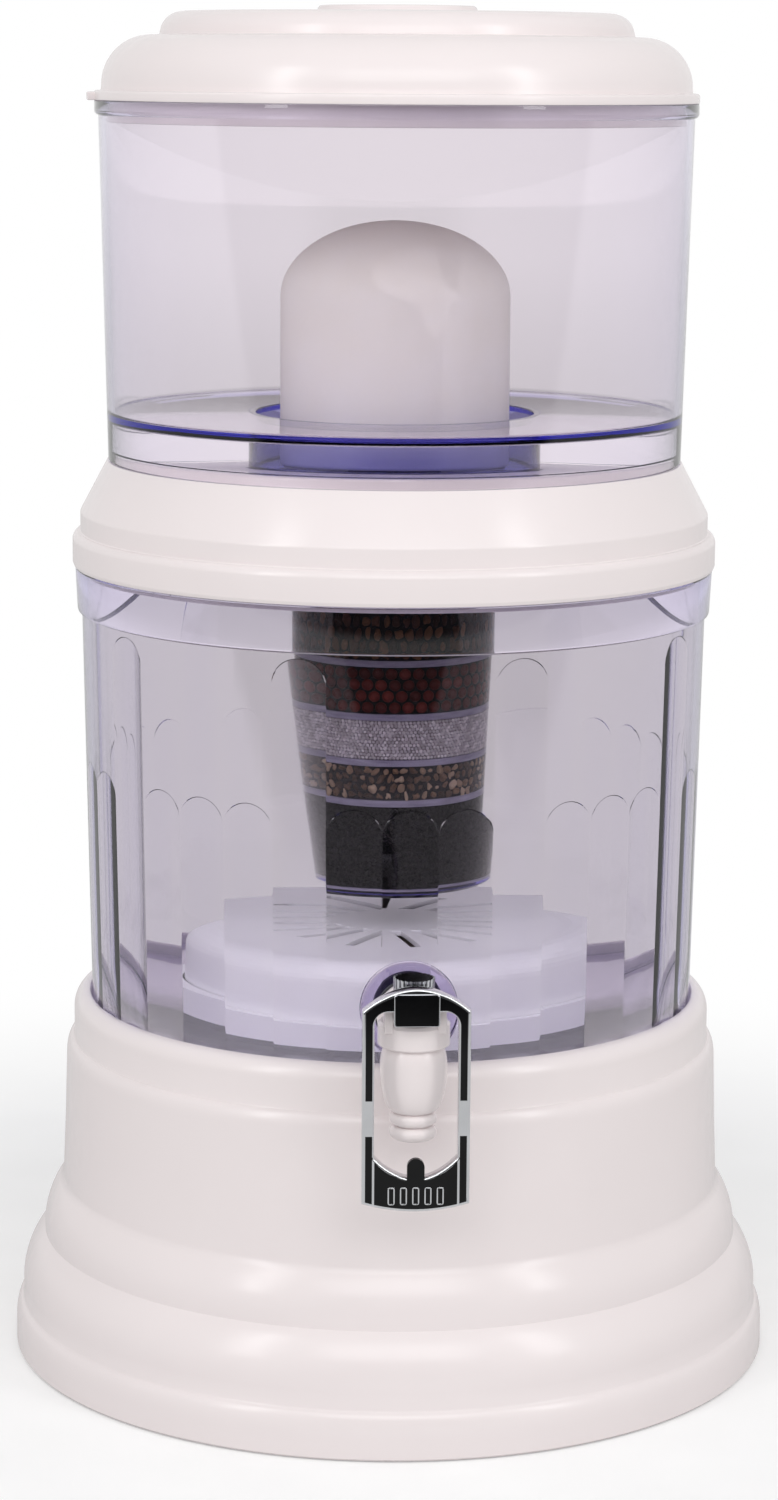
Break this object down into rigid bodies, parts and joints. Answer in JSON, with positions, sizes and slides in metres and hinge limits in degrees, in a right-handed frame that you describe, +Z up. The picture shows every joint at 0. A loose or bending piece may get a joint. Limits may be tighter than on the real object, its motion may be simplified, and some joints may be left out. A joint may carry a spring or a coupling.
{
  "type": "gravity water filter",
  "caption": "Countertop gravity water filter: clear upper tank with a ceramic dome drains through a hanging media cartridge into a clear lower tank with a lever tap, on a white stand",
  "frame": {"origin": "On the axis of the tanks, at floor level, on the plane of the stand's foot", "axes": "+Z up along the tanks' axis; -Y is the front, where the tap stands out; +X is the right seen from the front"},
  "size_m": [0.3, 0.3145, 0.5257],
  "materials": {
    "white_abs": "smooth injection-moulded white plastic",
    "clear_tank": "clear plastic with a faint lavender tint",
    "ceramic": "fired porous ceramic, stood in for by matte plastic",
    "white_plastic": "satin white plastic",
    "rubber": "soft grey rubber",
    "screen_felt": "pressed white filter felt",
    "brown_granules": "loose brown mineral granules",
    "red_balls": "loose dark red ceramic balls",
    "pale_sand": "loose speckled quartz sand",
    "brown_gravel": "loose tan gravel",
    "carbon": "loose black carbon",
    "stone": "rounded mineral stones",
    "steel": "drawn stainless steel",
    "chrome": "bright chrome plate",
    "black_gloss": "polished black plastic"
  },
  "bodies": {
    "stand_unit": {"stand": "white_abs"},
    "lower_tank_unit": {"lower_tank": "clear_tank", "tap_body": "white_abs", "tap_washer_outer": "rubber", "tap_washer_inner": "rubber", "tap_nut": "white_plastic", "lever_pin": "steel"},
    "collar_unit": {"collar": "white_abs"},
    "upper_tank_unit": {"upper_tank": "clear_tank", "ceramic_dome": "ceramic", "dome_base": "white_plastic", "dome_washer_upper": "rubber", "dome_washer_lower": "rubber", "dome_nut": "white_plastic", "cartridge_cap": "white_plastic", "cartridge_gasket": "rubber", "cartridge_body": "clear_tank", "cartridge_screens": "screen_felt", "media_granules": "brown_granules", "media_red_balls": "red_balls", "media_sand": "pale_sand", "media_gravel": "brown_gravel", "media_carbon": "carbon"},
    "lid_unit": {"lid": "white_abs"},
    "mineral_case": {"mineral_dish": "white_plastic", "mineral_cover": "white_plastic", "mineral_stones": "stone"},
    "tap_lever": {"lever_core": "black_gloss", "lever_frame": "chrome", "lever_inlay_upper": "black_gloss", "lever_inlay_lower": "black_gloss", "lever_plate": "black_gloss"},
    "tap_valve": {"valve_stem": "white_plastic", "valve_seal": "rubber", "valve_spring": "steel", "valve_knob": "chrome"}
  },
  "joints": [
    {"name": "lower_tank_lift", "type": "slide", "parent": "stand_unit", "child": "lower_tank_unit", "axis": [0, 0, 1], "range_m": [0, 0.05]},
    {"name": "collar_lift", "type": "slide", "parent": "lower_tank_unit", "child": "collar_unit", "axis": [0, 0, 1], "range_m": [0, 0.06]},
    {"name": "upper_tank_lift", "type": "slide", "parent": "collar_unit", "child": "upper_tank_unit", "axis": [0, 0, 1], "range_m": [0, 0.2]},
    {"name": "lid_lift", "type": "slide", "parent": "upper_tank_unit", "child": "lid_unit", "axis": [0, 0, 1], "range_m": [0, 0.1]},
    {"name": "mineral_case_lift", "type": "slide", "parent": "lower_tank_unit", "child": "mineral_case", "axis": [0, 0, 1], "range_m": [0, 0.012]},
    {"name": "lever_press", "type": "hinge", "parent": "lower_tank_unit", "child": "tap_lever", "pos_m": [0, -0.15252, 0.1733], "axis": [1, 0, 0], "range_deg": [0, 12], "stiffness_Nm_per_rad": 0.5, "springref_deg": -17.19},
    {"name": "valve_lift", "type": "slide", "parent": "lower_tank_unit", "child": "tap_valve", "axis": [0, 0, 1], "range_m": [0, 0.0018], "deforming": ["valve_spring"]}
  ],
  "couplings": [
    {"joint": "valve_lift", "follows": "lever_press", "m_per_rad": 0.008}
  ]
}
